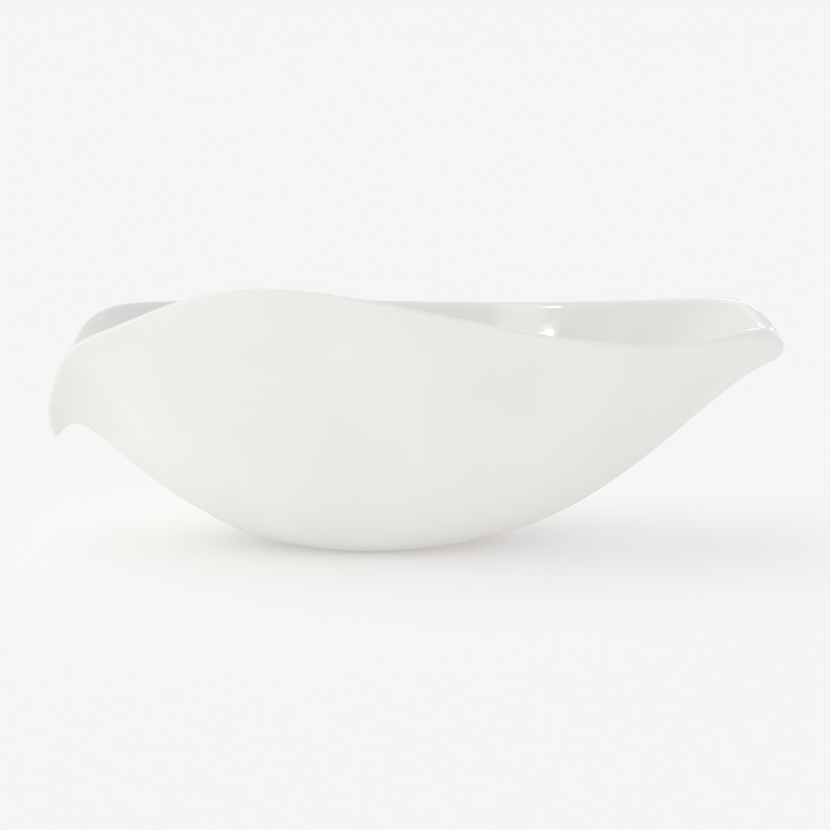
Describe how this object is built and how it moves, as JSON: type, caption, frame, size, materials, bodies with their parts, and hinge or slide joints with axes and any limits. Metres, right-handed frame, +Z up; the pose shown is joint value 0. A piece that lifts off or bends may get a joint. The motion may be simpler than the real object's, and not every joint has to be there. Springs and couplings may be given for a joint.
{
  "type": "evaporating dish",
  "caption": "Leaf-shaped porcelain evaporating dish with a flat base, a raised crest on one side, a hanging pouring lip and a rounded tail, glazed inside and biscuit outside",
  "frame": {"origin": "the centre of the flat ground base, on the surface the dish stands on", "axes": "+Z up out of the bowl, +X towards the rounded tail along the dish's length, -X towards the pouring lip, -Y towards the side with the raised crest"},
  "size_m": [0.2016, 0.098, 0.0752],
  "materials": {
    "biscuit": "satin biscuit porcelain",
    "glaze": "clear gloss glaze"
  },
  "bodies": {
    "root": {"porcelain_body": "biscuit", "inner_glaze": "glaze"}
  },
  "joints": []
}
